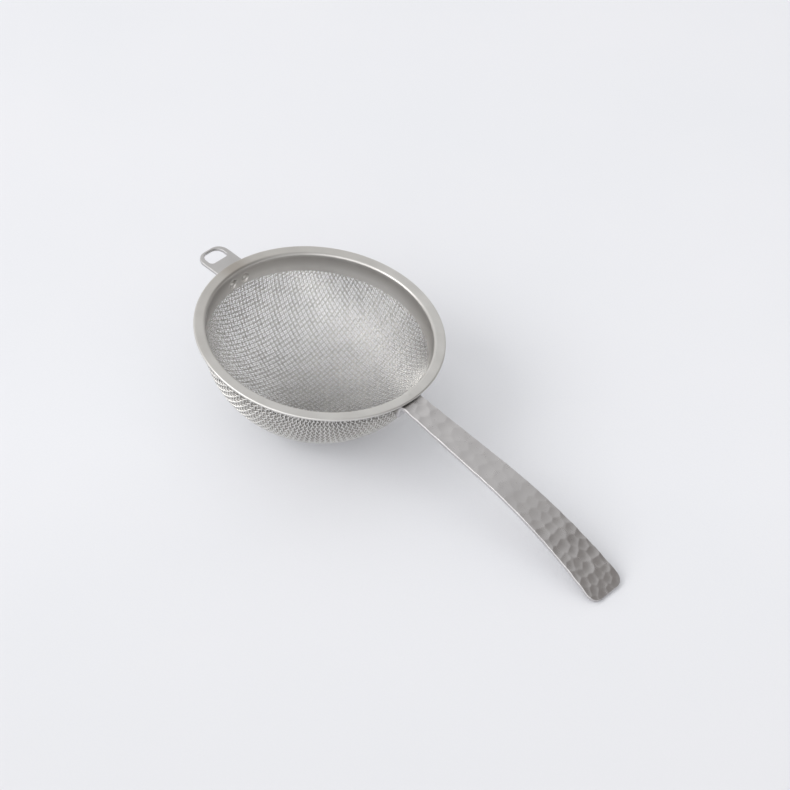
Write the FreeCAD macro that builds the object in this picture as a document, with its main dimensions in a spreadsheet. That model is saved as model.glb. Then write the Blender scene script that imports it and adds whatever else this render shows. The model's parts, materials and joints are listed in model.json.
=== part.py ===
"""Tea strainer: a formed rim ring, two woven wire bowls, a hammered strip handle and a slotted
hook tab, all spot welded together.

Each piece is drawn in the rim frame: millimetres, Z along the bowl's axis, Z = 0 on top of the rim,
+X towards the handle. A Placement then puts it in the resting pose on the table plane Z = 0, where
the strainer leans on its bowl and on the tip of its handle.
"""

import FreeCAD, Part
import Sketcher
import math
import os

Vec = FreeCAD.Vector

# Driving dimensions: alias, value, meaning. Lengths in mm, angles in degrees.
DIMENSIONS = [
    ("rim_radius", 37.5, "outer radius of the rim"),
    ("rim_height", 0.95, "height of the flattened hem round the rim"),
    ("sheet_gauge", 0.4, "thickness of the rim's sheet"),
    ("hem_inner_radius", 35.4, "where the folded hem ends under the flange"),
    ("corner_radius", 1.0, "roll from the flange down into the band"),
    ("corner_centre_radius", 34.8, "where the flange's flat top begins"),
    ("band_height", 6.4, "lower edge of the inner band below the rim's top"),
    ("band_taper", 7.7, "lean of the band from the bowl's axis"),
    ("bowl_radius", 35.2, "outer radius of the coarse bowl at the rim"),
    ("bowl_depth", 31.9, "outer depth of the coarse bowl below the rim's top"),
    ("coarse_thickness", 0.6, "two crossing coarse wires"),
    ("fine_thickness", 0.32, "two crossing fine wires"),
    ("bowl_gap", 0.04, "clearance between the two bowls"),
    ("bowl_edge_depth", 1.25, "upper edge of both bowls below the rim's top"),
    ("handle_gauge", 1.2, "thickness of the handle strip"),
    ("handle_slope", 6.06, "slope of the handle's straight part from the rim plane"),
    ("handle_arch_x", 69.3, "where the straight part turns into the arch"),
    ("handle_arch_drop", 5.09, "top of the handle below the rim there"),
    ("handle_arch_radius", 143.9, "radius of the arch, on its top face"),
    ("handle_root_width", 8.1, "width of the handle at the lower end of its tongue"),
    ("handle_tip_width", 13.7, "width of the handle at its tip"),
    ("handle_tip_x", 115.4, "distance of the tip from the bowl's axis"),
    ("handle_corner", 3.2, "rounding of the tip's two corners"),
    ("handle_bend", 2.0, "bend into the welded tongue, on its large side"),
    ("tongue_lean", 9.5, "lean of both tongues, along the bowl's wall"),
    ("tongue_foot_radius", 34.5, "inner face of both tongues at their lower end"),
    ("tongue_foot_depth", 6.9, "lower end of both tongues below the rim's top"),
    ("tab_gauge", 1.0, "thickness of the hook tab"),
    ("tab_drop", 1.0, "top of the tab below the rim's top"),
    ("tab_reach", 47.1, "end of the tab from the bowl's axis"),
    ("tab_width", 10.5, "width of the tab"),
    ("tab_corner", 3.6, "rounding of the tab's two corners"),
    ("tab_bend", 1.6, "bend into the welded tongue, on its large side"),
    ("slot_width", 7.2, "size of the hanging slot across the tab"),
    ("slot_length", 4.7, "size of the hanging slot along the tab"),
    ("slot_margin", 0.75, "metal left outside the slot"),
    ("slot_outer_corner", 2.6, "rounding of the slot's corners near the tab's end"),
    ("slot_inner_corner", 1.2, "rounding of the slot's corners near the rim"),
    ("weld_radius", 1.2, "radius of one spot weld"),
    ("weld_spacing", 5.1, "distance between the two welds of a tongue"),
    ("handle_weld_depth", 5.1, "handle's welds below the rim's top"),
    ("tab_weld_depth", 4.0, "tab's welds below the rim's top"),
    ("weld_tool_start", 32.4, "inner end of the cut that makes room for the welds"),
    ("handle_weld_start", 33.34, "inner end of the handle's welds, just under the band's face"),
    ("handle_weld_end", 35.3, "outer end of the handle's welds, inside the tongue"),
    ("tab_weld_start", 33.5, "inner end of the tab's welds, just under the band's face"),
    ("tab_weld_end", 35.5, "outer end of the tab's welds, inside the tongue"),
    ("rest_tilt", 6.49, "tilt of the rim at which bowl and handle tip both touch the table"),
    ("rest_shift", -32.8, "shift that centres the whole part on the origin"),
]
SHEET = "Dimensions"

# Working values in mm that leave no trace in the finished part.
FIRST_TONGUE = 3.0  # first guess of a tongue's length, which the constraints then settle
PAD_MARGIN = 1.0  # spare width of the handle's pad, which the tapering cut takes off again
CUT_OVERRUN = 3.0  # how far the tapering cut's outline runs past the strip
CORNER_REACH = 1.0  # an upright corner edge lies this near the strip's free end
LEAST_CUT = 1.0  # a cut that takes off less than this volume, in mm3, has missed

doc = FreeCAD.newDocument("tea_strainer")


def make_sheet():
    """The spreadsheet that holds every driving dimension under its alias."""
    sheet = doc.addObject("Spreadsheet::Sheet", SHEET)
    for row, (alias, value, meaning) in enumerate(DIMENSIONS, start=1):
        sheet.set(f"A{row}", meaning)
        sheet.set(f"B{row}", str(value))
        sheet.setAlias(f"B{row}", alias)
    doc.recompute()
    return sheet


sheet = make_sheet()


def size(alias):
    """A driving dimension's value."""
    return float(sheet.get(alias))


def link(alias):
    """The expression that reads one cell."""
    return f"{SHEET}.{alias}"


def plane(body, role):
    """One of a body's own origin planes."""
    return next(item for item in body.Origin.OriginFeatures if item.Role == role)


def new_sketch(body, name, role):
    """An empty sketch on one of the body's origin planes."""
    sketch = body.newObject("Sketcher::SketchObject", name)
    sketch.AttachmentSupport = [(plane(body, role), "")]
    sketch.MapMode = "FlatFace"
    return sketch


def bind(sketch, kind, *where_and_value, to):
    """Adds a dimension to the sketch and binds it to an expression."""
    index = sketch.addConstraint(Sketcher.Constraint(kind, *where_and_value))
    sketch.setExpression(f"Constraints[{index}]", to)


def line(sketch, start, end):
    """A straight edge between two (x, y) points; returns its index."""
    return sketch.addGeometry(Part.LineSegment(Vec(*start, 0), Vec(*end, 0)), False)


def arc(sketch, centre, radius, first, last):
    """A counter-clockwise arc between two angles in degrees; returns its index."""
    circle = Part.Circle(Vec(*centre, 0), Vec(0, 0, 1), radius)
    bow = Part.ArcOfCircle(circle, math.radians(first), math.radians(last))
    return sketch.addGeometry(bow, False)


START, END, CENTRE = 1, 2, 3
ROOT = -1  # the sketch's own origin, and its horizontal axis


def join(sketch, kind, *ends):
    """Joins edge ends, by Coincident or Tangent."""
    sketch.addConstraint(Sketcher.Constraint(kind, *ends))


def polar(centre, radius, degrees):
    """The point at an angle on a circle."""
    turn = math.radians(degrees)
    return (centre[0] + radius * math.cos(turn), centre[1] + radius * math.sin(turn))


def rest(piece):
    """Puts a finished piece in the resting pose, with the pose bound to the sheet."""
    piece.Placement = FreeCAD.Placement(Vec(0, 0, 0), FreeCAD.Rotation(Vec(0, 1, 0), size("rest_tilt")))
    piece.setExpression("Placement.Rotation.Angle", link("rest_tilt"))
    piece.setExpression("Placement.Base.x", link("rest_shift"))
    drop = f"({link('bowl_radius')} * sin({link('rest_tilt')} * 1 deg)) ^ 2"
    reach = f"({link('bowl_depth')} * cos({link('rest_tilt')} * 1 deg)) ^ 2"
    piece.setExpression("Placement.Base.z", f"sqrt({drop} + {reach})")


def make_cut(name, base, tool):
    """Base minus tool."""
    cut = doc.addObject("Part::Cut", name)
    cut.Base = base
    cut.Tool = tool
    return cut


def make_rim_ring():
    """The rim's sheet: inner band, rolled corner, flat flange and a hem folded flat under it."""
    body = doc.addObject("PartDesign::Body", "RimRing")
    sketch = new_sketch(body, "RimSection", "XZ_Plane")
    half = size("rim_height") / 2
    rounded, gauge, taper = size("corner_radius"), size("sheet_gauge"), size("band_taper")
    corner = (size("corner_centre_radius"), -rounded)
    edge = (size("rim_radius") - half, -half)
    side = 180 - taper
    top_of_band = polar(corner, rounded, side)
    fall = size("band_height") + top_of_band[1]
    foot = (top_of_band[0] - fall * math.tan(math.radians(taper)), -size("band_height"))
    back = polar(foot, gauge, -taper)
    hem = size("hem_inner_radius")

    flange = line(sketch, (edge[0], 0), (corner[0], 0))
    roll = arc(sketch, corner, rounded, 90, side)
    band = line(sketch, top_of_band, foot)
    cap = line(sketch, foot, back)
    band_back = line(sketch, back, polar(corner, rounded - gauge, side))
    roll_back = arc(sketch, corner, rounded - gauge, 90, side)
    under = line(sketch, (corner[0], -gauge), (hem, -gauge))
    step = line(sketch, (hem, -gauge), (hem, -2 * half))
    hem_face = line(sketch, (hem, -2 * half), (edge[0], -2 * half))
    nose = arc(sketch, edge, half, -90, 90)

    join(sketch, "Tangent", flange, END, roll, START)
    join(sketch, "Tangent", roll, END, band, START)
    join(sketch, "Coincident", band, END, cap, START)
    join(sketch, "Coincident", cap, END, band_back, START)
    join(sketch, "Tangent", band_back, END, roll_back, END)
    join(sketch, "Tangent", roll_back, START, under, START)
    join(sketch, "Coincident", under, END, step, START)
    join(sketch, "Coincident", step, END, hem_face, START)
    join(sketch, "Tangent", hem_face, END, nose, START)
    join(sketch, "Tangent", nose, END, flange, START)
    join(sketch, "Coincident", roll, CENTRE, roll_back, CENTRE)
    join(sketch, "Horizontal", flange)
    join(sketch, "Horizontal", under)
    join(sketch, "Horizontal", hem_face)
    join(sketch, "Vertical", step)
    join(sketch, "Perpendicular", band, cap)
    join(sketch, "Parallel", band, band_back)
    join(sketch, "PointOnObject", flange, START, ROOT)
    bind(sketch, "Radius", roll, rounded, to=link("corner_radius"))
    bind(sketch, "Radius", roll_back, rounded - gauge,
         to=f"{link('corner_radius')} - {link('sheet_gauge')}")
    bind(sketch, "Radius", nose, half, to=f"{link('rim_height')} / 2")
    bind(sketch, "DistanceX", ROOT, START, roll, CENTRE, corner[0], to=link("corner_centre_radius"))
    bind(sketch, "DistanceX", ROOT, START, nose, CENTRE, edge[0],
         to=f"{link('rim_radius')} - {link('rim_height')} / 2")
    bind(sketch, "DistanceX", ROOT, START, step, START, hem, to=link("hem_inner_radius"))
    bind(sketch, "DistanceY", band, END, ROOT, START, size("band_height"), to=link("band_height"))
    bind(sketch, "Angle", band, math.radians(-90 - taper), to=f"-90 - {link('band_taper')}")

    ring = body.newObject("PartDesign::Revolution", "RimTurned")
    ring.Profile = sketch
    ring.ReferenceAxis = (sketch, ["V_Axis"])
    ring.Angle = 360
    return body


def make_bowl_skin(name, inset, thickness):
    """Half an ellipsoid shell. inset, an expression, is how far it lies inside the bowl's outside."""
    outer = doc.addObject("Part::Ellipsoid", f"{name}Outside")
    inner = doc.addObject("Part::Ellipsoid", f"{name}Inside")
    for solid, less in ((outer, inset), (inner, f"({inset} + {thickness})")):
        solid.Angle1 = -90
        solid.Angle2 = 0
        solid.setExpression("Radius1", f"{link('bowl_depth')} - {less}")
        solid.setExpression("Radius2", f"{link('bowl_radius')} - {less}")
        solid.setExpression("Radius3", f"{link('bowl_radius')} - {less}")
    edge = f"asin({link('bowl_edge_depth')} / ({link('bowl_depth')} - {inset}))"
    outer.setExpression("Angle2", f"-{edge}")
    return make_cut(f"{name}Skin", outer, inner)


def make_strip_section(sketch, foot, tongue_angle, bend, gauge, bend_turns):
    """Draws the two faces of a bent strip's tongue and bend.

    Returns the indices of (tongue, bend, tongue back, bend back). bend_turns holds the angles at
    which the bend meets the tongue and the flat part, seen from the bend's centre.
    """
    at_tongue, at_flat = bend_turns
    tongue_top = polar(foot, FIRST_TONGUE, tongue_angle)
    centre = polar(tongue_top, bend, at_tongue + 180)
    back_foot = polar(foot, gauge, at_tongue + 180)
    first, last = sorted(bend_turns)
    tongue = line(sketch, foot, tongue_top)
    bow = arc(sketch, centre, bend, first, last)
    back = line(sketch, back_foot, polar(centre, bend - gauge, at_tongue))
    back_bow = arc(sketch, centre, bend - gauge, first, last)
    cap = line(sketch, foot, back_foot)
    near, far = (START, END) if at_tongue < at_flat else (END, START)
    join(sketch, "Tangent", tongue, END, bow, near)
    join(sketch, "Tangent", back, END, back_bow, near)
    join(sketch, "Coincident", bow, CENTRE, back_bow, CENTRE)
    join(sketch, "Coincident", cap, START, tongue, START)
    join(sketch, "Coincident", cap, END, back, START)
    join(sketch, "Perpendicular", cap, tongue)
    join(sketch, "Parallel", tongue, back)
    return bow, back_bow, far, centre, tongue


def make_handle_strip():
    """The handle: a tapering strip, straight then arched, with a tongue bent down at its root."""
    body = doc.addObject("PartDesign::Body", "HandleStrip")
    sketch = new_sketch(body, "HandleSide", "XZ_Plane")
    gauge, bend, lean = size("handle_gauge"), size("handle_bend"), size("tongue_lean")
    slope, sweep = size("handle_slope"), size("handle_arch_radius")
    knee = (size("handle_arch_x"), -size("handle_arch_drop"))
    foot = (size("tongue_foot_radius"), -size("tongue_foot_depth"))
    upright = 90 - slope
    bow, back_bow, far, centre, tongue = make_strip_section(
        sketch, foot, 90 - lean, bend, gauge, (180 - lean, upright))
    hub = polar(knee, sweep, upright + 180)
    tip = math.degrees(math.acos((size("handle_tip_x") - hub[0]) / sweep))
    flat = line(sketch, polar(centre, bend, upright), knee)
    flat_back = line(sketch, polar(centre, bend - gauge, upright), polar(hub, sweep - gauge, upright))
    arch = arc(sketch, hub, sweep, tip, upright)
    arch_back = arc(sketch, hub, sweep - gauge, tip, upright)
    end = line(sketch, polar(hub, sweep, tip), polar(hub, sweep - gauge, tip))

    join(sketch, "Tangent", bow, far, flat, START)
    join(sketch, "Tangent", back_bow, far, flat_back, START)
    join(sketch, "Tangent", flat, END, arch, END)
    join(sketch, "Tangent", flat_back, END, arch_back, END)
    join(sketch, "Coincident", arch, CENTRE, arch_back, CENTRE)
    join(sketch, "Coincident", end, START, arch, START)
    join(sketch, "Coincident", end, END, arch_back, START)
    join(sketch, "PointOnObject", arch, CENTRE, end)
    join(sketch, "Parallel", flat, flat_back)
    bind(sketch, "Radius", bow, bend, to=link("handle_bend"))
    bind(sketch, "Radius", back_bow, bend - gauge, to=f"{link('handle_bend')} - {link('handle_gauge')}")
    bind(sketch, "Radius", arch, sweep, to=link("handle_arch_radius"))
    bind(sketch, "Angle", tongue, math.radians(90 - lean), to=f"90 - {link('tongue_lean')}")
    bind(sketch, "Angle", flat, math.radians(-slope), to=f"-{link('handle_slope')}")
    bind(sketch, "DistanceX", ROOT, START, tongue, START, foot[0], to=link("tongue_foot_radius"))
    bind(sketch, "DistanceY", tongue, START, ROOT, START, -foot[1], to=link("tongue_foot_depth"))
    bind(sketch, "DistanceX", ROOT, START, flat, END, knee[0], to=link("handle_arch_x"))
    bind(sketch, "DistanceY", flat, END, ROOT, START, -knee[1], to=link("handle_arch_drop"))
    bind(sketch, "DistanceX", ROOT, START, arch, START, size("handle_tip_x"), to=link("handle_tip_x"))

    pad = body.newObject("PartDesign::Pad", "HandlePad")
    pad.Profile = sketch
    pad.SideType = "Symmetric"
    pad.setExpression("Length", f"{link('handle_tip_width')} + {PAD_MARGIN}")
    doc.recompute()
    make_handle_taper(body, pad)
    return body


def make_handle_taper(body, pad):
    """Cuts the strip's two long sides to their taper and rounds the tip's corners."""
    sketch = new_sketch(body, "HandleTaper", "XY_Plane")
    root = (size("tongue_foot_radius"), size("handle_root_width") / 2)
    tip = (size("handle_tip_x"), size("handle_tip_width") / 2)
    for side in (1, -1):
        corners = [
            (root[0], side * root[1]),
            (tip[0], side * tip[1]),
            (tip[0] + CUT_OVERRUN, side * (tip[1] + CUT_OVERRUN)),
            (root[0] - CUT_OVERRUN, side * (tip[1] + CUT_OVERRUN)),
        ]
        edges = [line(sketch, here, there) for here, there in zip(corners, corners[1:] + corners[:1])]
        for edge, after in zip(edges, edges[1:] + edges[:1]):
            join(sketch, "Coincident", edge, END, after, START)
        reach = f"{link('handle_tip_width')} / 2 + {CUT_OVERRUN}"
        places = [
            (link("tongue_foot_radius"), f"{link('handle_root_width')} / 2"),
            (link("handle_tip_x"), f"{link('handle_tip_width')} / 2"),
            (f"{link('handle_tip_x')} + {CUT_OVERRUN}", reach),
            (f"{link('tongue_foot_radius')} - {CUT_OVERRUN}", reach),
        ]
        for edge, corner, (along, across) in zip(edges, corners, places):
            bind(sketch, "DistanceX", ROOT, START, edge, START, corner[0], to=along)
            ends = (ROOT, START, edge, START) if side > 0 else (edge, START, ROOT, START)
            bind(sketch, "DistanceY", *ends, abs(corner[1]), to=across)
    pocket = body.newObject("PartDesign::Pocket", "HandleSides")
    pocket.Profile = sketch
    pocket.Type = "ThroughAll"
    pocket.SideType = "Symmetric"
    doc.recompute()
    if pocket.Shape.Volume >= pad.Shape.Volume - LEAST_CUT:
        raise RuntimeError("the handle's sides were not cut")
    round_corners(body, pocket, "HandleCorners", size("handle_tip_x"), 1, "handle_corner")


def round_corners(body, feature, name, end_x, outward, radius_alias):
    """Rounds the two upright corner edges at a strip's free end.

    outward is +1 where the free end is the strip's +X end, and -1 where it is the other.
    """
    def at_end(edge):
        middle = edge.CenterOfMass
        near_end = outward * (middle.x - end_x) > -CORNER_REACH
        runs_across = abs(edge.tangentAt(edge.FirstParameter).y) > 0.5
        off_centre = abs(middle.y) > CORNER_REACH
        is_short = edge.Length < 2 * CORNER_REACH
        return near_end and off_centre and is_short and not runs_across

    picked = [f"Edge{i}" for i, edge in enumerate(feature.Shape.Edges, start=1) if at_end(edge)]
    if len(picked) != 2:
        raise RuntimeError(f"{name}: found {len(picked)} corner edges instead of 2")
    fillet = body.newObject("PartDesign::Fillet", name)
    fillet.Base = (feature, picked)
    fillet.setExpression("Radius", link(radius_alias))
    body.Tip = fillet
    doc.recompute()
    return fillet


def make_tab_strip():
    """The hook tab: a short flat strip with a tongue bent down, rounded corners and a slot."""
    body = doc.addObject("PartDesign::Body", "TabStrip")
    sketch = new_sketch(body, "TabSide", "XZ_Plane")
    gauge, bend, lean = size("tab_gauge"), size("tab_bend"), size("tongue_lean")
    foot = (-size("tongue_foot_radius"), -size("tongue_foot_depth"))
    reach, top = -size("tab_reach"), -size("tab_drop")
    bow, back_bow, far, centre, tongue = make_strip_section(
        sketch, foot, 90 + lean, bend, gauge, (lean, 90))
    flat = line(sketch, (centre[0], top), (reach, top))
    flat_back = line(sketch, (centre[0], top - gauge), (reach, top - gauge))
    end = line(sketch, (reach, top), (reach, top - gauge))

    join(sketch, "Tangent", bow, far, flat, START)
    join(sketch, "Tangent", back_bow, far, flat_back, START)
    join(sketch, "Coincident", end, START, flat, END)
    join(sketch, "Coincident", end, END, flat_back, END)
    join(sketch, "Horizontal", flat)
    join(sketch, "Horizontal", flat_back)
    join(sketch, "Vertical", end)
    bind(sketch, "Radius", bow, bend, to=link("tab_bend"))
    bind(sketch, "Radius", back_bow, bend - gauge, to=f"{link('tab_bend')} - {link('tab_gauge')}")
    bind(sketch, "Angle", tongue, math.radians(90 + lean), to=f"90 + {link('tongue_lean')}")
    bind(sketch, "DistanceX", tongue, START, ROOT, START, -foot[0], to=link("tongue_foot_radius"))
    bind(sketch, "DistanceY", tongue, START, ROOT, START, -foot[1], to=link("tongue_foot_depth"))
    bind(sketch, "DistanceX", end, START, ROOT, START, -reach, to=link("tab_reach"))
    bind(sketch, "DistanceY", end, START, ROOT, START, -top, to=link("tab_drop"))

    pad = body.newObject("PartDesign::Pad", "TabPad")
    pad.Profile = sketch
    pad.SideType = "Symmetric"
    pad.setExpression("Length", link("tab_width"))
    doc.recompute()
    rounded = round_corners(body, pad, "TabCorners", reach, -1, "tab_corner")
    make_tab_slot(body, rounded)
    return body


def make_tab_slot(body, before):
    """Cuts the hanging slot: straight towards the rim, with large corners towards the tab's end."""
    sketch = new_sketch(body, "TabSlot", "XY_Plane")
    half, outer, inner = size("slot_width") / 2, size("slot_outer_corner"), size("slot_inner_corner")
    far = -(size("tab_reach") - size("slot_margin"))
    near = far + size("slot_length")
    far_edge = line(sketch, (far, half - outer), (far, outer - half))
    far_low = arc(sketch, (far + outer, outer - half), outer, 180, 270)
    low = line(sketch, (far + outer, -half), (near - inner, -half))
    near_low = arc(sketch, (near - inner, inner - half), inner, 270, 360)
    near_edge = line(sketch, (near, inner - half), (near, half - inner))
    near_high = arc(sketch, (near - inner, half - inner), inner, 0, 90)
    high = line(sketch, (near - inner, half), (far + outer, half))
    far_high = arc(sketch, (far + outer, half - outer), outer, 90, 180)
    loop = [far_edge, far_low, low, near_low, near_edge, near_high, high, far_high]
    for edge, after in zip(loop, loop[1:] + loop[:1]):
        join(sketch, "Tangent", edge, END, after, START)
    join(sketch, "Vertical", far_edge)
    join(sketch, "Vertical", near_edge)
    join(sketch, "Horizontal", low)
    join(sketch, "Horizontal", high)
    join(sketch, "Equal", far_low, far_high)
    join(sketch, "Equal", near_low, near_high)
    bind(sketch, "Radius", far_low, outer, to=link("slot_outer_corner"))
    bind(sketch, "Radius", near_low, inner, to=link("slot_inner_corner"))
    bind(sketch, "DistanceX", far_edge, START, ROOT, START, -far,
         to=f"{link('tab_reach')} - {link('slot_margin')}")
    bind(sketch, "DistanceX", near_edge, START, ROOT, START, -near,
         to=f"{link('tab_reach')} - {link('slot_margin')} - {link('slot_length')}")
    bind(sketch, "DistanceY", ROOT, START, high, START, half, to=f"{link('slot_width')} / 2")
    bind(sketch, "DistanceY", low, START, ROOT, START, half, to=f"{link('slot_width')} / 2")
    pocket = body.newObject("PartDesign::Pocket", "TabHole")
    pocket.Profile = sketch
    pocket.Type = "ThroughAll"
    pocket.SideType = "Symmetric"
    doc.recompute()
    if pocket.Shape.Volume >= before.Shape.Volume - LEAST_CUT:
        raise RuntimeError("the tab's slot was not cut")


def make_weld_pair(name, outward, start_alias, end_alias, depth_alias):
    """Two discs side by side along X, outward being +1 at the handle and -1 at the tab."""
    discs = []
    for side in (1, -1):
        disc = doc.addObject("Part::Cylinder", f"{name}Disc")
        disc.Placement = FreeCAD.Placement(Vec(0, 0, 0), FreeCAD.Rotation(Vec(0, 1, 0), 90 * outward))
        disc.setExpression("Radius", link("weld_radius"))
        disc.setExpression("Height", f"{link(end_alias)} - {link(start_alias)}")
        disc.setExpression("Placement.Base.x", f"{outward} * {link(start_alias)}")
        disc.setExpression("Placement.Base.y", f"{side} * {link('weld_spacing')} / 2")
        disc.setExpression("Placement.Base.z", f"-{link(depth_alias)}")
        discs.append(disc)
    pair = doc.addObject("Part::Compound", name)
    pair.Links = discs
    return pair


def make_pieces():
    """Builds every piece; returns them by node name."""
    handle_cut = make_weld_pair(
        "HandleWeldRoom", 1, "weld_tool_start", "handle_weld_end", "handle_weld_depth")
    tab_cut = make_weld_pair(
        "TabWeldRoom", -1, "weld_tool_start", "tab_weld_end", "tab_weld_depth")
    both_cuts = doc.addObject("Part::Compound", "AllWeldRoom")
    both_cuts.Links = [handle_cut, tab_cut]
    coarse = link("coarse_thickness")
    fine = link("fine_thickness")
    coarse_skin = make_bowl_skin("Coarse", "0", coarse)
    fine_skin = make_bowl_skin("Fine", f"({coarse} + {link('bowl_gap')})", fine)
    return {
        "rim": make_cut("Rim", make_rim_ring(), both_cuts),
        "inner_fine_mesh": make_cut("FineBowl", fine_skin, both_cuts),
        "outer_coarse_mesh": make_cut("CoarseBowl", coarse_skin, both_cuts),
        "handle": make_cut("Handle", make_handle_strip(), handle_cut),
        "hook_tab": make_cut("HookTab", make_tab_strip(), tab_cut),
        "handle_spot_welds": make_weld_pair(
            "HandleWelds", 1, "handle_weld_start", "handle_weld_end", "handle_weld_depth"),
        "tab_spot_welds": make_weld_pair(
            "TabWelds", -1, "tab_weld_start", "tab_weld_end", "tab_weld_depth"),
    }


def check(pieces):
    """Stops if any object failed or any piece is not a valid solid."""
    for item in doc.Objects:
        if "Invalid" in item.State or "Error" in item.State:
            raise RuntimeError(f"{item.Name} failed: {item.State}")
    for node, piece in pieces.items():
        shape = piece.Shape
        if shape.isNull() or not shape.isValid() or not shape.Solids:
            raise RuntimeError(f"{node} has no valid solid")


def export(pieces):
    """Writes each piece to its own STEP file, named after its node."""
    os.makedirs("parts", exist_ok=True)
    for node, piece in pieces.items():
        piece.Shape.exportStep(f"parts/{node}.step")
        box = piece.Shape.optimalBoundingBox()
        corners = [round(v, 2) for v in (box.XMin, box.YMin, box.ZMin, box.XMax, box.YMax, box.ZMax)]
        print(f"{node}: {len(piece.Shape.Solids)} solid(s), {piece.Shape.Volume:.1f} mm3, box {corners}")


pieces = make_pieces()
for node, piece in pieces.items():
    piece.Label = node
    rest(piece)
doc.recompute()
check(pieces)
export(pieces)
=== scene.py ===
import json
import math

import bpy
import numpy as np
from mathutils import Matrix, Vector
from mathutils.geometry import delaunay_2d_cdt


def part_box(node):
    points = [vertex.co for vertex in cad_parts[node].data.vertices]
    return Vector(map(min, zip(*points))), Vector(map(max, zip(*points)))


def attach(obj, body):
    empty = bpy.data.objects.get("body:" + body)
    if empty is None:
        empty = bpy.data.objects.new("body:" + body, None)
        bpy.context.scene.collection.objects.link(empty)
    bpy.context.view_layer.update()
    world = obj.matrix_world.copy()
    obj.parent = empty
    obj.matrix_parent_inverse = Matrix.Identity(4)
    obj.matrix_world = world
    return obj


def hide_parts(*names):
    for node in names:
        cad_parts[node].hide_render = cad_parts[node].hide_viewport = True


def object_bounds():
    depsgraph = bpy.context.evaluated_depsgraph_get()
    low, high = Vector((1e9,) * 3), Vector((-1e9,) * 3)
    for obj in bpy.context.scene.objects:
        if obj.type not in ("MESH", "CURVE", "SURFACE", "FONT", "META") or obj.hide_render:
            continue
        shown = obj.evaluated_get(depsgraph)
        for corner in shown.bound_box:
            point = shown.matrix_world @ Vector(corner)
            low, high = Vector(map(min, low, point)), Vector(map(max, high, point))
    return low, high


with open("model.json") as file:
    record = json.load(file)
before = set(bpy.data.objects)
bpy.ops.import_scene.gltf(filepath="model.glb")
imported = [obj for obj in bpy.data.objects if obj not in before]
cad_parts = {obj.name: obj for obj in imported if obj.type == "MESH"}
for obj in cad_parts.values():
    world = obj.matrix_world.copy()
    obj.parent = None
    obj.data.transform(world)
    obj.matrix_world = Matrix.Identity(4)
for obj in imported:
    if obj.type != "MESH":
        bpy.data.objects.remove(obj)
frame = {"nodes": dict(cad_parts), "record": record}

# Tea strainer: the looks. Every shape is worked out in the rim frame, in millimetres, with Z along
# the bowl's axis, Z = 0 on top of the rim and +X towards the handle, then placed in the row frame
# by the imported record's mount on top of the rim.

MM = 0.001
cad_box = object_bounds()

# ---- the rim frame -----------------------------------------------------------------------------

rim_top = next(mount for mount in frame["record"]["mounts"] if mount["name"] == "rim_top")
CENTRE = np.array(rim_top["pos_m"]) * (1, 0, 1)
UP = np.array(rim_top["axis"])
SIDE = np.array((0.0, 1.0, 0.0))
ALONG = np.cross(SIDE, UP)
RIM_RADIUS = (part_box("rim")[1].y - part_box("rim")[0].y) / 2 / MM


def placed(points):
    """Points of the rim frame, in mm, as row frame points in metres."""
    return CENTRE + (np.asarray(points, float) * MM) @ np.array((ALONG, SIDE, UP))


def make_piece(name, points, faces, material, nodes):
    """A smooth shaded mesh object that rides on the body and stands for CAD nodes."""
    mesh = bpy.data.meshes.new(name)
    mesh.from_pydata([tuple(p) for p in placed(points)], [], faces)
    mesh.polygons.foreach_set("use_smooth", [True] * len(mesh.polygons))
    mesh.materials.append(material)
    mesh.update()
    piece = bpy.data.objects.new(name, mesh)
    bpy.context.scene.collection.objects.link(piece)
    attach(piece, "root")
    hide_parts(*nodes)
    return piece


# ---- steel -------------------------------------------------------------------------------------

def node(tree, kind, **settings):
    """A shader node with its settings and input values."""
    made = tree.nodes.new(kind)
    for key, value in settings.items():
        if key in made.inputs:
            made.inputs[key].default_value = value
        else:
            setattr(made, key, value)
    return made


def ramp(tree, source, stops):
    """A colour ramp fed by source, with (position, colour) stops."""
    made = node(tree, "ShaderNodeValToRGB")
    tree.links.new(source, made.inputs["Fac"])
    keys = made.color_ramp.elements
    while len(keys) < len(stops):
        keys.new(0.5)
    for key, (place, colour) in zip(keys, stops):
        key.position = place
        key.color = (*colour, 1)
    return made.outputs["Color"]


def scaled(tree, source, low, high):
    """Maps a 0 to 1 signal to low to high."""
    made = node(tree, "ShaderNodeMapRange")
    made.inputs["To Min"].default_value = low
    made.inputs["To Max"].default_value = high
    tree.links.new(source, made.inputs["Value"])
    return made.outputs["Result"]


def noise(tree, where, per_mm, detail=3.0, stretch=(1, 1, 1)):
    """Noise with about per_mm cells in a millimetre, drawn out along an axis of small stretch."""
    mapping = node(tree, "ShaderNodeMapping")
    mapping.inputs["Scale"].default_value = stretch
    tree.links.new(where, mapping.inputs["Vector"])
    made = node(tree, "ShaderNodeTexNoise", Scale=per_mm / MM, Detail=detail)
    tree.links.new(mapping.outputs["Vector"], made.inputs["Vector"])
    return made.outputs["Fac"]


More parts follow.
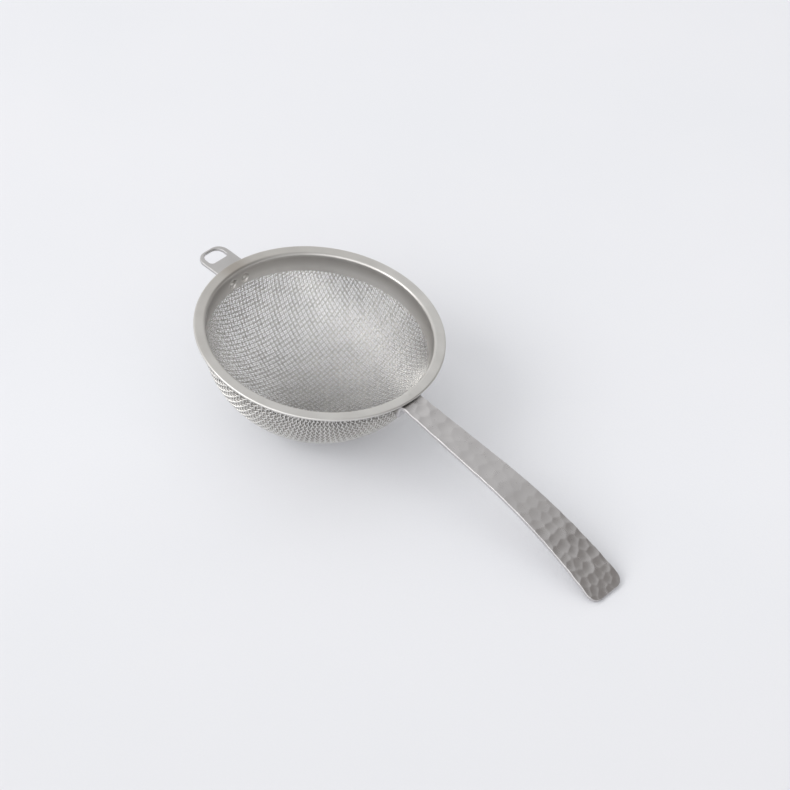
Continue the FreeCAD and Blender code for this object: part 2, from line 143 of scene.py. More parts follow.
def ring_coordinates(tree, where):
    """Coordinates round the bowl's axis: radius, arc and height, so marks follow the rim."""
    local = node(tree, "ShaderNodeMapping", vector_type="POINT")
    local.inputs["Location"].default_value = -Vector(CENTRE)
    tree.links.new(where, local.inputs["Vector"])
    level = node(tree, "ShaderNodeVectorRotate", rotation_type="Y_AXIS")
    level.inputs["Angle"].default_value = -math.atan2(UP[0], UP[2])
    tree.links.new(local.outputs["Vector"], level.inputs["Vector"])
    split = node(tree, "ShaderNodeSeparateXYZ")
    tree.links.new(level.outputs["Vector"], split.inputs["Vector"])
    turn = node(tree, "ShaderNodeMath", operation="ARCTAN2")
    tree.links.new(split.outputs["Y"], turn.inputs[0])
    tree.links.new(split.outputs["X"], turn.inputs[1])
    arc = node(tree, "ShaderNodeMath", operation="MULTIPLY")
    arc.inputs[1].default_value = RIM_RADIUS * MM
    tree.links.new(turn.outputs["Value"], arc.inputs[0])
    flat = node(tree, "ShaderNodeCombineXYZ")
    tree.links.new(split.outputs["X"], flat.inputs["X"])
    tree.links.new(split.outputs["Y"], flat.inputs["Y"])
    radius = node(tree, "ShaderNodeVectorMath", operation="LENGTH")
    tree.links.new(flat.outputs["Vector"], radius.inputs[0])
    joined = node(tree, "ShaderNodeCombineXYZ")
    tree.links.new(radius.outputs["Value"], joined.inputs["X"])
    tree.links.new(arc.outputs["Value"], joined.inputs["Y"])
    tree.links.new(split.outputs["Z"], joined.inputs["Z"])
    return joined.outputs["Vector"]


# Places of the Mix node's colour sockets, which share their names with its number sockets.
MIX_FIRST_COLOUR, MIX_SECOND_COLOUR, MIX_COLOUR_RESULT = 6, 7, 2


def blended(tree, share, first, second):
    """A colour between two others, which are outputs or fixed colours."""
    mix = node(tree, "ShaderNodeMix", data_type="RGBA")
    tree.links.new(share, mix.inputs["Factor"])
    for place, colour in ((MIX_FIRST_COLOUR, first), (MIX_SECOND_COLOUR, second)):
        if isinstance(colour, tuple):
            mix.inputs[place].default_value = (*colour, 1)
        else:
            tree.links.new(colour, mix.inputs[place])
    return mix.outputs[MIX_COLOUR_RESULT]


def measured(tree, source, low, high):
    """0 to 1 as a length in mm goes from low to high."""
    made = node(tree, "ShaderNodeMapRange")
    made.inputs["From Min"].default_value = low * MM
    made.inputs["From Max"].default_value = high * MM
    tree.links.new(source, made.inputs["Value"])
    return made.outputs["Result"]


# Along the rim, from the handle (0) to the tab (1): how far painted shade darkens the flange, most
# at the tab, standing in for its darker reflection on the far side.
FLANGE_SHADE_SHARE = [(0.50, (0.03,) * 3), (0.67, (0.30,) * 3), (0.85, (0.36,) * 3), (0.94, (0.50,) * 3),
              (0.985, (1.0,) * 3)]
FLANGE_SHADE_TONE = (0.42, 0.39, 0.355)
# Up the band's face, between two heights in mm: painted reflection and shade, bright by the cloth
# and darker and warmer towards the rolled corner.
BAND_SHADE_HEIGHTS = (-6.3, -0.8)
BAND_PAINTED_SHADES = [(0.0, (0.93, 0.91, 0.89)), (0.3, (0.81, 0.79, 0.765)), (0.6, (0.56, 0.54, 0.515)),
              (0.85, (0.41, 0.39, 0.37)), (1.0, (0.47, 0.455, 0.44))]
BAND_DRIFT = 0.5  # the most that the sheet's own tone shows through on the band
FLANGE_START = (34.0, 34.6)  # radii over which the band's tone gives way to the flange's


def painted_rim_shading(tree, where, tone):
    """The rim's tone with painted light and shade: painted shade on the flange towards the tab, and
    a band painted bright by the cloth and shaded towards the flange.

    where holds the radius, the arc from the handle and the height.
    """
    split = node(tree, "ShaderNodeSeparateXYZ")
    tree.links.new(where, split.inputs["Vector"])
    away = node(tree, "ShaderNodeMath", operation="ABSOLUTE")
    tree.links.new(split.outputs["Y"], away.inputs[0])
    share = measured(tree, away.outputs["Value"], 0, math.pi * RIM_RADIUS)
    # painted shade: the flange darkened over its far half, most at the tab
    flange = blended(tree, ramp(tree, share, FLANGE_SHADE_SHARE), tone, FLANGE_SHADE_TONE)
    height = measured(tree, split.outputs["Z"], *BAND_SHADE_HEIGHTS)
    # painted reflection and shade on the band: bright by the cloth, darker towards the rolled
    # corner
    band = ramp(tree, height, BAND_PAINTED_SHADES)
    drift = scaled(tree, noise(tree, where, 0.25, 3.0), 0, BAND_DRIFT)
    drifting = blended(tree, drift, band, tone)
    return blended(tree, measured(tree, split.outputs["X"], *FLANGE_START), drifting, flange)


DRIFT_PER_MM = 0.12  # how fine the patches of tone are
WIPE_PER_MM = 0.35  # how fine the patches of gloss are
GRAIN_DEPTH = 0.02 * MM


def steel(name, dull, bright, smooth, rough, grain, grain_per_mm, stretch, round_rim=False):
    """Satin stainless steel: drifting tone, uneven gloss, and a fine grain drawn out one way."""
    material = bpy.data.materials.new(name)
    material.use_nodes = True
    tree = material.node_tree
    shader = tree.nodes["Principled BSDF"]
    shader.inputs["Metallic"].default_value = 1.0
    where = node(tree, "ShaderNodeTexCoord").outputs["Object"]
    if round_rim:
        where = ring_coordinates(tree, where)
    drift = noise(tree, where, DRIFT_PER_MM, 4.0)
    tone = ramp(tree, drift, [(0.3, dull), (0.7, bright)])
    if round_rim:
        # the rim gets painted shade on its flange and painted reflection and shade on its band
        tone = painted_rim_shading(tree, where, tone)
    tree.links.new(tone, shader.inputs["Base Color"])
    streaks = noise(tree, where, grain_per_mm, 4.0, stretch)
    wiped = noise(tree, where, WIPE_PER_MM, 5.0)
    blend = node(tree, "ShaderNodeMix", data_type="FLOAT")
    blend.inputs["Factor"].default_value = 0.5
    tree.links.new(streaks, blend.inputs["A"])
    tree.links.new(wiped, blend.inputs["B"])
    tree.links.new(scaled(tree, blend.outputs["Result"], smooth, rough), shader.inputs["Roughness"])
    bump = node(tree, "ShaderNodeBump", Strength=grain, Distance=GRAIN_DEPTH)
    tree.links.new(streaks, bump.inputs["Height"])
    tree.links.new(bump.outputs["Normal"], shader.inputs["Normal"])
    return material


SHEET = steel("satin_sheet_steel", (0.60, 0.59, 0.57), (0.68, 0.67, 0.65), 0.26, 0.42,
              0.35, 6.0, (1, 0.06, 1), round_rim=True)
TAB_SHEET = steel("satin_tab_steel", (0.50, 0.49, 0.485), (0.57, 0.56, 0.555), 0.26, 0.42,
                  0.35, 6.0, (0.08, 1, 1))
STRIP = steel("hammered_strip_steel", (0.555, 0.54, 0.54), (0.635, 0.62, 0.62), 0.22, 0.36,
              0.30, 5.0, (0.10, 1, 1))
FINE_WIRE = steel("fine_wire_steel", (0.66, 0.65, 0.64), (0.76, 0.75, 0.73), 0.14, 0.28,
                  0.25, 9.0, (1, 1, 1))
COARSE_WIRE = steel("coarse_wire_steel", (0.64, 0.63, 0.61), (0.74, 0.73, 0.71), 0.14, 0.28,
                    0.25, 7.0, (1, 1, 1))
WELD = steel("weld_steel", (0.52, 0.50, 0.47), (0.62, 0.60, 0.57), 0.34, 0.52,
             0.60, 4.0, (1, 1, 1))

# ---- the rim -----------------------------------------------------------------------------------

RIM_HEIGHT = 0.95  # the flange with its hem folded flat under it
SHEET_GAUGE = 0.4
HEM_INNER_RADIUS = 35.4
CORNER_RADIUS = 1.0  # roll from the flange down into the band
CORNER_CENTRE_RADIUS = 34.8
BAND_HEIGHT = 6.4
BAND_TAPER = math.radians(7.7)
CUT_EDGE = 0.12  # burr rounding on the sheet's cut edges
HEM_GAP = 0.02  # between the flange and the hem folded under it

WELD_SPACING = 5.1
WELD_MARK_RADIUS = 1.0  # the electrode's ring on the band's inner face
WELD_MARK_WIDTH = 0.26
WELD_MARK_DEPTH = 0.32
WELD_MIDDLE_WIDTH = 0.7  # share of the ring's radius
WELD_MIDDLE_LIFT = 0.35  # shares of the ring's depth, for the proud middle and the lip outside
WELD_LIP_LIFT = 0.3
WELD_LIP_OFFSET = 2.2  # ring widths from the ring to its lip
TAB_WELD_DEPTH = 4.0
HANDLE_WELD_DEPTH = 5.1
SPATTER_RADIUS = 35.2  # a small drop of weld metal on the flange above the handle
SPATTER_SIZE = 0.7
SPATTER_HEIGHT = 0.16
FLANGE_TOP_DEPTH = 0.3  # heights above this are the flange's top and the start of its corner

FINE_HALF_ARC = math.radians(9)  # each side of the handle and of the tab
FINE_STEP = math.radians(0.14)
FAR_STEPS = 190  # steps on each side of the rim between them


def bow(centre, radius, first, last, count):
    """Points on an arc, between two angles in degrees."""
    turn = np.radians(np.linspace(first, last, count))
    return np.stack([centre[0] + radius * np.cos(turn), centre[1] + radius * np.sin(turn)], 1)


def run(start, end, count):
    """Points on a straight line, both ends left out."""
    share = np.linspace(0, 1, count + 2)[1:-1, None]
    return np.asarray(start) * (1 - share) + np.asarray(end) * share


def rim_section():
    """The rim's closed section, as (radius, height) points, and 1 for each on the band's face."""
    half = RIM_HEIGHT / 2
    corner = (CORNER_CENTRE_RADIUS, -CORNER_RADIUS)
    edge = (RIM_RADIUS - half, -half)
    side = 180 - math.degrees(BAND_TAPER)
    roll = bow(corner, CORNER_RADIUS, 90, side, 16)
    roll_back = bow(corner, CORNER_RADIUS - SHEET_GAUGE, side, 90, 12)
    down = np.array((-math.sin(BAND_TAPER), -math.cos(BAND_TAPER)))
    out = np.array((math.cos(BAND_TAPER), -math.sin(BAND_TAPER)))
    fall = (BAND_HEIGHT + roll[-1][1]) / math.cos(BAND_TAPER)
    foot = roll[-1] + down * fall
    cap = bow(foot + out * SHEET_GAUGE / 2 - down * SHEET_GAUGE / 2, SHEET_GAUGE / 2,
              side, side + 180, 9)
    back_top = roll_back[0]
    hem_corner = (HEM_INNER_RADIUS + CUT_EDGE, -RIM_HEIGHT + CUT_EDGE)
    parts = [
        (run((edge[0], 0), (corner[0], 0), 5), 0),
        (roll, 0),
        (run(roll[-1], cap[0], 44), 1),
        (cap, 0),
        (run(cap[-1], back_top, 6), 0),
        (roll_back, 0),
        (np.array([(HEM_INNER_RADIUS, -SHEET_GAUGE - HEM_GAP)]), 0),
        (bow(hem_corner, CUT_EDGE, 180, 270, 4), 0),
        (run((hem_corner[0], -RIM_HEIGHT), (edge[0], -RIM_HEIGHT), 4), 0),
        (bow(edge, half, -90, 90, 15), 0),
    ]
    section = np.concatenate([points for points, _ in parts])
    on_band = np.concatenate([np.full(len(points), flag) for points, flag in parts])
    return section, on_band


def weld_relief(arc, height, depth_below):
    """Radial relief of a pair of weld marks: a pressed ring with its centre left a little proud."""
    relief = np.zeros(np.broadcast(arc, height).shape)
    for side in (1, -1):
        away = np.hypot(arc - side * WELD_SPACING / 2, height + depth_below)
        ring = np.exp(-((away - WELD_MARK_RADIUS) / WELD_MARK_WIDTH) ** 2)
        middle = np.exp(-(away / (WELD_MIDDLE_WIDTH * WELD_MARK_RADIUS)) ** 2)
        past = away - WELD_MARK_RADIUS - WELD_LIP_OFFSET * WELD_MARK_WIDTH
        lip = np.exp(-(past / WELD_MARK_WIDTH) ** 2)
        relief += WELD_MARK_DEPTH * (ring - WELD_MIDDLE_LIFT * middle - WELD_LIP_LIFT * lip)
    return relief


def make_rim():
    """The rim turned round the bowl's axis, finer where the weld marks are."""
    section, on_band = rim_section()
    near = np.arange(-FINE_HALF_ARC, FINE_HALF_ARC, FINE_STEP)
    far = np.linspace(FINE_HALF_ARC, math.pi - FINE_HALF_ARC, FAR_STEPS, endpoint=False)
    angles = np.concatenate([near, far, near + math.pi, far + math.pi])
    radius, height = section[None, :, 0], section[None, :, 1]
    wrapped = (angles[:, None] + math.pi) % (2 * math.pi) - math.pi
    at_handle = weld_relief(wrapped * radius, height, HANDLE_WELD_DEPTH)
    from_tab = angles[:, None] % (2 * math.pi) - math.pi
    at_tab = weld_relief(from_tab * radius, height, TAB_WELD_DEPTH)
    pushed = radius + on_band[None, :] * (at_handle + at_tab)
    from_drop = (wrapped * radius) ** 2 + (radius - SPATTER_RADIUS) ** 2
    raised = SPATTER_HEIGHT * np.exp(-from_drop / SPATTER_SIZE ** 2)
    lifted = height + raised * (height > -FLANGE_TOP_DEPTH)
    points = np.stack([
        pushed * np.cos(angles)[:, None],
        pushed * np.sin(angles)[:, None],
        lifted,
    ], -1)
    turns, around = pushed.shape
    index = np.arange(turns * around).reshape(turns, around)
    here, there = index, np.roll(index, -1, 0)
    faces = np.stack([here, np.roll(here, -1, 1), np.roll(there, -1, 1), there], -1)
    return make_piece("rim_visual", points.reshape(-1, 3), faces.reshape(-1, 4).tolist(),
                      SHEET, ["rim"])


make_rim()

# ---- woven wire bowls --------------------------------------------------------------------------

BOWL_RADIUS = 35.2
BOWL_DEPTH = 31.9
BOWL_EDGE_DEPTH = 1.25
BOWL_GAP = 0.04
COARSE_WIRE_DIAMETER = 0.34
FINE_WIRE_DIAMETER = 0.16
COARSE_PITCH = 1.375
FINE_PITCH = 0.62
FINE_CLOTH_TURN = math.radians(-8)  # the way the cloth was laid in the bowl
COARSE_CLOTH_TURN = math.radians(-5)
COARSE_SIDES = 8  # sides of a wire's cross-section
FINE_SIDES = 4
HALVINGS = 45  # of the search for the next crossing along a straight wire
CORRECTIONS = 7  # of each crossing in the net, enough for it to settle
SINGULAR = 1e-9  # crossings whose equations have a smaller determinant stay as guessed


def meridian(radius, depth, pitch, count):
    """Points one pitch apart up the bowl's side, as (distance from axis, height)."""
    points = [np.array((0.0, -depth))]
    turn = 0.0
    for _ in range(count):
        low, high = turn, turn + 2 * pitch / min(radius, depth)
        for _ in range(HALVINGS):
            turn = (low + high) / 2
            guess = np.array((radius * math.sin(turn), -depth * math.cos(turn)))
            if np.hypot(*(guess - points[-1])) < pitch:
                low = turn
            else:
                high = turn
        points.append(guess)
    return np.array(points)


def draped_net(radius, depth, pitch):
    """Crossings of cloth draped on half an ellipsoid: wires keep their spacing and only shear.

    One quarter is solved outwards from two straight wires, each crossing one pitch from its two
    neighbours, and then mirrored.
    """
    count = math.ceil(0.25 * math.pi * (radius + depth) / pitch) + 2
    spine = meridian(radius, depth, pitch, count)
    net = np.full((count + 1, count + 1, 3), np.nan)
    net[:, 0] = np.stack([spine[:, 0], 0 * spine[:, 0], spine[:, 1]], 1)
    net[0, :] = np.stack([0 * spine[:, 0], spine[:, 0], spine[:, 1]], 1)
    shape = np.array((radius, radius, depth)) ** -2.0
    for diagonal in range(2, 2 * count + 1):
        i = np.arange(max(1, diagonal - count), min(count, diagonal - 1) + 1)
        j = diagonal - i
        before, beside = net[i - 1, j], net[i, j - 1]
        found = before + beside - net[i - 1, j - 1]
        for _ in range(CORRECTIONS):
            misses = np.stack([
                ((found - before) ** 2).sum(1) - pitch ** 2,
                ((found - beside) ** 2).sum(1) - pitch ** 2,
                (found ** 2 * shape).sum(1) - 1,
            ], 1)
            slopes = 2 * np.stack([found - before, found - beside, found * shape], 1)
            good = np.isfinite(slopes).all((1, 2))
            good[good] = np.abs(np.linalg.det(slopes[good])) > SINGULAR
            step = np.zeros_like(found)
            step[good] = np.linalg.solve(slopes[good], misses[good][..., None])[..., 0]
            found = found - np.clip(step, -pitch, pitch)
        net[i, j] = found
    low = np.concatenate([net[:0:-1] * (-1, 1, 1), net])
    return np.concatenate([low[:, :0:-1] * (1, -1, 1), low], 1)


def wire_runs(net, direction):
    """Each wire's crossings below the bowl's edge, as (points, signs that say over or under)."""
    if direction == 1:
        net = net.transpose(1, 0, 2)
    middle = net.shape[0] // 2
    for wire in range(net.shape[1]):
        line = net[:, wire]
        inside = np.isfinite(line).all(1) & (line[:, 2] < -BOWL_EDGE_DEPTH)
        if not inside[middle]:
            continue
        first = last = middle
        while first > 0 and inside[first - 1]:
            first -= 1
        while last < len(line) - 1 and inside[last + 1]:
            last += 1
        if last - first < 2:
            continue
        points = line[first:last + 1]
        signs = (-1.0) ** (np.arange(first, last + 1) + wire + direction)
        yield points, signs


def up_to_edge(points, heights, radius, depth):
    """Runs a wire's two ends on to the bowl's edge."""
    ends = []
    for last, before in ((points[0], points[1]), (points[-1], points[-2])):
        way = last - before
        share = np.clip((-BOWL_EDGE_DEPTH - last[2]) / max(way[2], 1e-6), 0, 1.5)
        end = last + way * share
        end[:2] *= radius * math.sqrt(1 - (end[2] / depth) ** 2) / np.hypot(*end[:2])
        ends.append(end)
    return np.vstack([ends[0], points, ends[1]]), np.concatenate([[0], heights, [0]])


def tube(points, normals, radius, sides):
    """Rings of a round wire along points."""
    ahead = np.gradient(points, axis=0)
    ahead /= np.linalg.norm(ahead, axis=1, keepdims=True)
    across = np.cross(ahead, normals)
    across /= np.linalg.norm(across, axis=1, keepdims=True)
    outward = np.cross(across, ahead)
    turn = (np.arange(sides) + 0.5) * 2 * math.pi / sides
    around = (outward[:, None] * np.cos(turn)[None, :, None]
              + across[:, None] * np.sin(turn)[None, :, None])
    return points[:, None] + radius * around


def weave(name, net, direction, size, wire_diameter, turn, sides, bends, material, nodes):
    """One family of parallel wires, each passing over and under the other family's.

    bends says whether wires run level over each crossing before they dip to the next.
    """
    radius, depth = size
    half = wire_diameter / 2
    shape = np.array((radius, radius, depth)) ** -2.0
    rings, faces, total = [], [], 0
    for points, signs in wire_runs(net, direction):
        if bends:
            quarter = np.stack([points[:-1] * 0.75 + points[1:] * 0.25,
                                points[:-1] * 0.25 + points[1:] * 0.75], 1)
            heights = np.stack([signs[:-1], signs[1:]], 1).reshape(-1) * half
            line = quarter.reshape(-1, 3)
        else:
            line, heights = points, signs * half
        line, heights = up_to_edge(line, heights, radius, depth)
        normals = line * shape
        normals /= np.linalg.norm(normals, axis=1, keepdims=True)
        ring = tube(line + normals * heights[:, None], normals, half, sides)
        count = len(ring)
        index = total + np.arange(count * sides).reshape(count, sides)
        here, there = index[:-1], index[1:]
        quads = np.stack([here, there, np.roll(there, -1, 1), np.roll(here, -1, 1)], -1)
        faces += quads.reshape(-1, 4).tolist()
        faces += [index[0].tolist(), index[-1][::-1].tolist()]
        rings.append(ring.reshape(-1, 3))
        total += count * sides
    points = np.concatenate(rings)
    spin = np.array(((math.cos(turn), math.sin(turn), 0), (-math.sin(turn), math.cos(turn), 0),
                     (0, 0, 1)))
    return make_piece(name, points @ spin, faces, material, nodes)


coarse_size = (BOWL_RADIUS - COARSE_WIRE_DIAMETER, BOWL_DEPTH - COARSE_WIRE_DIAMETER)
coarse_net = draped_net(*coarse_size, COARSE_PITCH)
for direction, name in enumerate(("coarse_warp", "coarse_weft")):
    weave(name, coarse_net, direction, coarse_size, COARSE_WIRE_DIAMETER, COARSE_CLOTH_TURN,
          COARSE_SIDES, True, COARSE_WIRE, ["outer_coarse_mesh"])

inset = 2 * COARSE_WIRE_DIAMETER + BOWL_GAP + FINE_WIRE_DIAMETER
fine_size = (BOWL_RADIUS - inset, BOWL_DEPTH - inset)
fine_net = draped_net(*fine_size, FINE_PITCH)
for direction, name in enumerate(("fine_warp", "fine_weft")):
    weave(name, fine_net, direction, fine_size, FINE_WIRE_DIAMETER, FINE_CLOTH_TURN,
          FINE_SIDES, False, FINE_WIRE, ["inner_fine_mesh"])

# ---- bent strips: the handle and the hook tab --------------------------------------------------

TONGUE_LEAN = math.radians(9.5)
TONGUE_FOOT = np.array((34.5, -6.9))
TONGUE_CORNER = 0.6
PATH_STEP = 0.05
EDGE_STEPS = 5
FIRST_ROW = 0.6  # grid steps between a plate's rounded edge and the points that fill its face
SAME_POINT = 1e-7
CHUNK = 1000  # points worked on at a time, to keep memory small


def strip_path(bend, slope, knee, sweep=None, tip_x=None):
    """Side view of a strip's outer face as rows of (run, x, z, normal x, normal z).

    The tongue rises from its foot, bends outwards, and runs straight to the knee, then along an
    arch of radius sweep to tip_x if there is one.
    """
    rise = np.array((math.sin(TONGUE_LEAN), math.cos(TONGUE_LEAN)))
    inward = np.array((-rise[1], rise[0]))
    ahead = np.array((math.cos(slope), -math.sin(slope)))
    above = np.array((math.sin(slope), math.cos(slope)))
    centre = np.linalg.solve(
        np.array((inward, above)), (inward @ TONGUE_FOOT - bend, above @ knee - bend))
    rows = []

    def straight(start, end, normal):
        count = max(2, int(np.hypot(*(end - start)) / PATH_STEP))
        for share in np.linspace(0, 1, count, endpoint=False):
            rows.append((*(start + (end - start) * share), *normal))

    def curve(hub, radius, first, last):
        count = max(2, int(abs(last - first) * radius / PATH_STEP))
        for turn in np.linspace(first, last, count, endpoint=False):
            normal = np.array((math.cos(turn), math.sin(turn)))
            rows.append((*(hub + radius * normal), *normal))

    upright = math.pi / 2 - slope
    straight(TONGUE_FOOT, centre + inward * bend, inward)
    curve(centre, bend, math.pi - TONGUE_LEAN, upright)
    straight(centre + above * bend, knee, above)
    if sweep:
        hub = knee - above * sweep
        tip = math.acos((tip_x - hub[0]) / sweep)
        curve(hub, sweep, upright, tip)
        normal = np.array((math.cos(tip), math.sin(tip)))
        rows.append((*(hub + sweep * normal), *normal))
    else:
        rows.append((*knee, *above))
    rows = np.array(rows)
    steps = np.hypot(*np.diff(rows[:, :2], axis=0).T)
    return np.column_stack([np.concatenate([[0], np.cumsum(steps)]), rows])


def rounded_outline(corners, radii, spacing):
    """A closed counter-clockwise outline through corners, each rounded by its own radius."""
    points = []
    count = len(corners)
    for k, (corner, radius) in enumerate(zip(corners, radii)):
        corner = np.asarray(corner, float)
        if not radius:
            points.append(corner[None])
            continue
        back = np.asarray(corners[k - 1], float) - corner
        ahead = np.asarray(corners[(k + 1) % count], float) - corner
        back /= np.hypot(*back)
        ahead /= np.hypot(*ahead)
        half = math.acos(np.clip(back @ ahead, -1, 1)) / 2
        reach = radius / math.tan(half)
        hub = corner + (back + ahead) / np.hypot(*(back + ahead)) * radius / math.sin(half)
        start, end = corner + back * reach - hub, corner + ahead * reach - hub
        first = math.atan2(start[1], start[0])
        swing = (math.atan2(end[1], end[0]) - first) % (2 * math.pi)
        steps = max(3, int(swing * radius / spacing))
        turns = first + np.linspace(0, swing, steps + 1)
        points.append(hub + radius * np.stack([np.cos(turns), np.sin(turns)], 1))
    closed = []
    for arc, following in zip(points, points[1:] + points[:1]):
        closed.append(arc)
        gap = np.hypot(*(following[0] - arc[-1]))
        closed.append(run(arc[-1], following[0], max(0, int(gap / spacing) - 1)))
    return np.concatenate(closed)


def offset(loop, distance):
    """A counter-clockwise loop moved inwards by distance."""
    way = np.roll(loop, -1, 0) - np.roll(loop, 1, 0)
    way /= np.hypot(*way.T)[:, None]
    return loop + distance * np.stack([-way[:, 1], way[:, 0]], 1)


def inside_loop(points, loop):
    """True for each point inside a closed loop."""
    (ax, ay), (bx, by) = loop.T, np.roll(loop, -1, 0).T
    rise = np.where(by == ay, 1, by - ay)
    answers = []
    for chunk in np.array_split(points, max(1, len(points) // CHUNK)):
        x, y = chunk[:, :1], chunk[:, 1:]
        crosses = (ay > y) != (by > y)
        answers.append((crosses & (x < ax + (y - ay) * (bx - ax) / rise)).sum(1) % 2 == 1)
    return np.concatenate(answers)


def distance_to(points, loop):
    """Distance from each point to the nearest point of a finely spaced loop."""
    answers = []
    for chunk in np.array_split(points, max(1, len(points) // CHUNK)):
        away = np.hypot(chunk[:, :1] - loop[:, 0], chunk[:, 1:] - loop[:, 1])
        answers.append(away.min(1))
    return np.concatenate(answers)


def bent_plate(path, outline, hole, gauge, edge, grid, relief):
    """Points and faces of a bent plate with rounded edges.

    outline and hole are drawn on the unrolled face, x along the run and y across it. relief gives
    how deep the outer face is dented at such points.
    """
    arcs = np.linspace(0, math.pi / 2, EDGE_STEPS)
    top = [(edge * (1 - math.sin(a)), edge * (1 - math.cos(a))) for a in arcs]
    bottom = [(inwards, gauge - down) for inwards, down in reversed(top)]
    rings = top + bottom
    loops = [(outline, 1)] + ([(hole, -1)] if hole is not None else [])

    low, high = outline.min(0), outline.max(0)
    xs = np.arange(low[0] + grid / 2, high[0], grid)
    ys = np.arange(low[1] + grid / 2, high[1], grid)
    filling = np.stack(np.meshgrid(xs, ys, indexing="ij"), -1).reshape(-1, 2)
    keep = inside_loop(filling, outline)
    for loop, side in loops:
        if side < 0:
            keep &= ~inside_loop(filling, loop)
        keep &= distance_to(filling, loop) > edge + FIRST_ROW * grid
    filling = filling[keep]

    flat, depth, fade = [], [], []
    faces, starts = [], []
    for loop, side in loops:
        count = len(loop)
        start = sum(len(f) for f in flat)
        starts.append((start, count))
        for inwards, down in rings:
            flat.append(offset(loop, side * inwards))
            depth.append(np.full(count, down))
            fade.append(np.full(count, max(0.0, 1 - down / gauge)))
        for number in range(len(rings) - 1):
            here = start + number * count + np.arange(count)
            below = here + count
            quads = np.stack([here, below, np.roll(below, -1), np.roll(here, -1)], 1)
            if side > 0:
                faces += quads.tolist()
            else:
                faces += quads[:, ::-1].tolist()
    inner_start = sum(len(f) for f in flat)
    flat += [filling, filling]
    depth += [np.zeros(len(filling)), np.full(len(filling), gauge)]
    fade += [np.ones(len(filling)), np.zeros(len(filling))]
    flat, depth, fade = np.concatenate(flat), np.concatenate(depth), np.concatenate(fade)

    for level in (0, len(rings) - 1):
        ids, borders, base = [], [], 0
        for start, count in starts:
            ids.append(start + level * count + np.arange(count))
            borders += [(base + k, base + (k + 1) % count) for k in range(count)]
            base += count
        fill_start = inner_start + (len(filling) if level else 0)
        ids.append(fill_start + np.arange(len(filling)))
        ids = np.concatenate(ids)
        made = delaunay_2d_cdt([Vector(p) for p in flat[ids]], borders, [], 0, SAME_POINT)
        sources = [ids[given[0]] for given in made[3]]
        triangles = np.array([[sources[k] for k in face] for face in made[2]])
        middles = flat[triangles].mean(1)
        inside = inside_loop(middles, flat[ids[:starts[0][1]]])
        if hole is not None:
            first = starts[0][1]
            inside &= ~inside_loop(middles, flat[ids[first:first + starts[1][1]]])
        triangles = triangles[inside]
        a, b, c = (flat[triangles[:, k]] for k in range(3))
        facing = np.cross(b - a, c - a)
        triangles[facing < 0] = triangles[facing < 0][:, ::-1]
        faces += (triangles[:, ::-1] if level else triangles).tolist()

    dent = relief(flat) * fade
    runs = path[:, 0]
    x, z, nx, nz = (np.interp(flat[:, 0], runs, path[:, k]) for k in range(1, 5))
    sunk = depth + dent
    return np.stack([x - nx * sunk, flat[:, 1], z - nz * sunk], 1), faces


HANDLE_GAUGE = 1.2
HANDLE_BEND = 2.0
HANDLE_SLOPE = math.radians(6.06)
HANDLE_KNEE = np.array((69.3, -5.09))
HANDLE_ARCH_RADIUS = 143.9
HANDLE_TIP_X = 115.4
HANDLE_ROOT_WIDTH = 8.1
HANDLE_TIP_WIDTH = 13.7
HANDLE_CORNER = 3.2
HANDLE_WIDENS = 8.0  # run at which the strip starts to widen, past the bend
HANDLE_EDGE = 0.22
HANDLE_GRID = 0.24

MARK_SEED = 7
MARKS_START = 7.0  # run at which the hammer marks begin, just past the bend
MARKS_LEAD = 2.0  # they come in over MARKS_FADE, from this far before MARKS_START
MARKS_FADE = 3.0
MARK_OVERRUN = 3.0  # rows go on this far past the tip
MARK_ROW_STEP = 0.86  # from here to MARK_WOBBLE, shares of the marks' spacing
MARK_ROW_SHIFT = 0.12
MARK_WOBBLE = 0.22
MARK_LIFT = 0.10  # as MARK_RIDGE, a share of the spacing squared
MARK_RIDGE = 0.36
MARK_REACH = 2.5  # marks further away than this many spacings are left out
# Along the handle: share of the way, spacing of the marks, radius of the hammer's cup.
MARK_SPACING = ((0.0, 4.6), (0.45, 4.4), (0.75, 3.6), (1.0, 3.2))
MARK_CUP = ((0.0, 9.0), (0.12, 12.0), (0.28, 50.0), (0.5, 45.0), (0.72, 14.0), (1.0, 7.5))


def along(table, share):
    """Reads a value along the handle from (share, value) pairs."""
    places, values = zip(*table)
    return np.interp(share, places, values)


def hammer_marks(length):
    """Centres of the hammer marks on the unrolled handle, in staggered uneven rows."""
    chance = np.random.default_rng(MARK_SEED)
    marks = []
    place, row = MARKS_START, 0
    while place < length + MARK_OVERRUN:
        spacing = along(MARK_SPACING, place / length)
        reach = HANDLE_TIP_WIDTH / 2 + spacing
        shift = spacing * (0.5 * (row % 2) + chance.uniform(-MARK_ROW_SHIFT, MARK_ROW_SHIFT))
        for across in np.arange(-reach + shift, reach, spacing):
            wobble = chance.uniform(-MARK_WOBBLE, MARK_WOBBLE, 2) * spacing
            lift = chance.uniform(-MARK_LIFT, MARK_LIFT)
            marks.append((place + wobble[0], across + wobble[1], lift))
        place += spacing * MARK_ROW_STEP
        row += 1
    return np.array(marks)


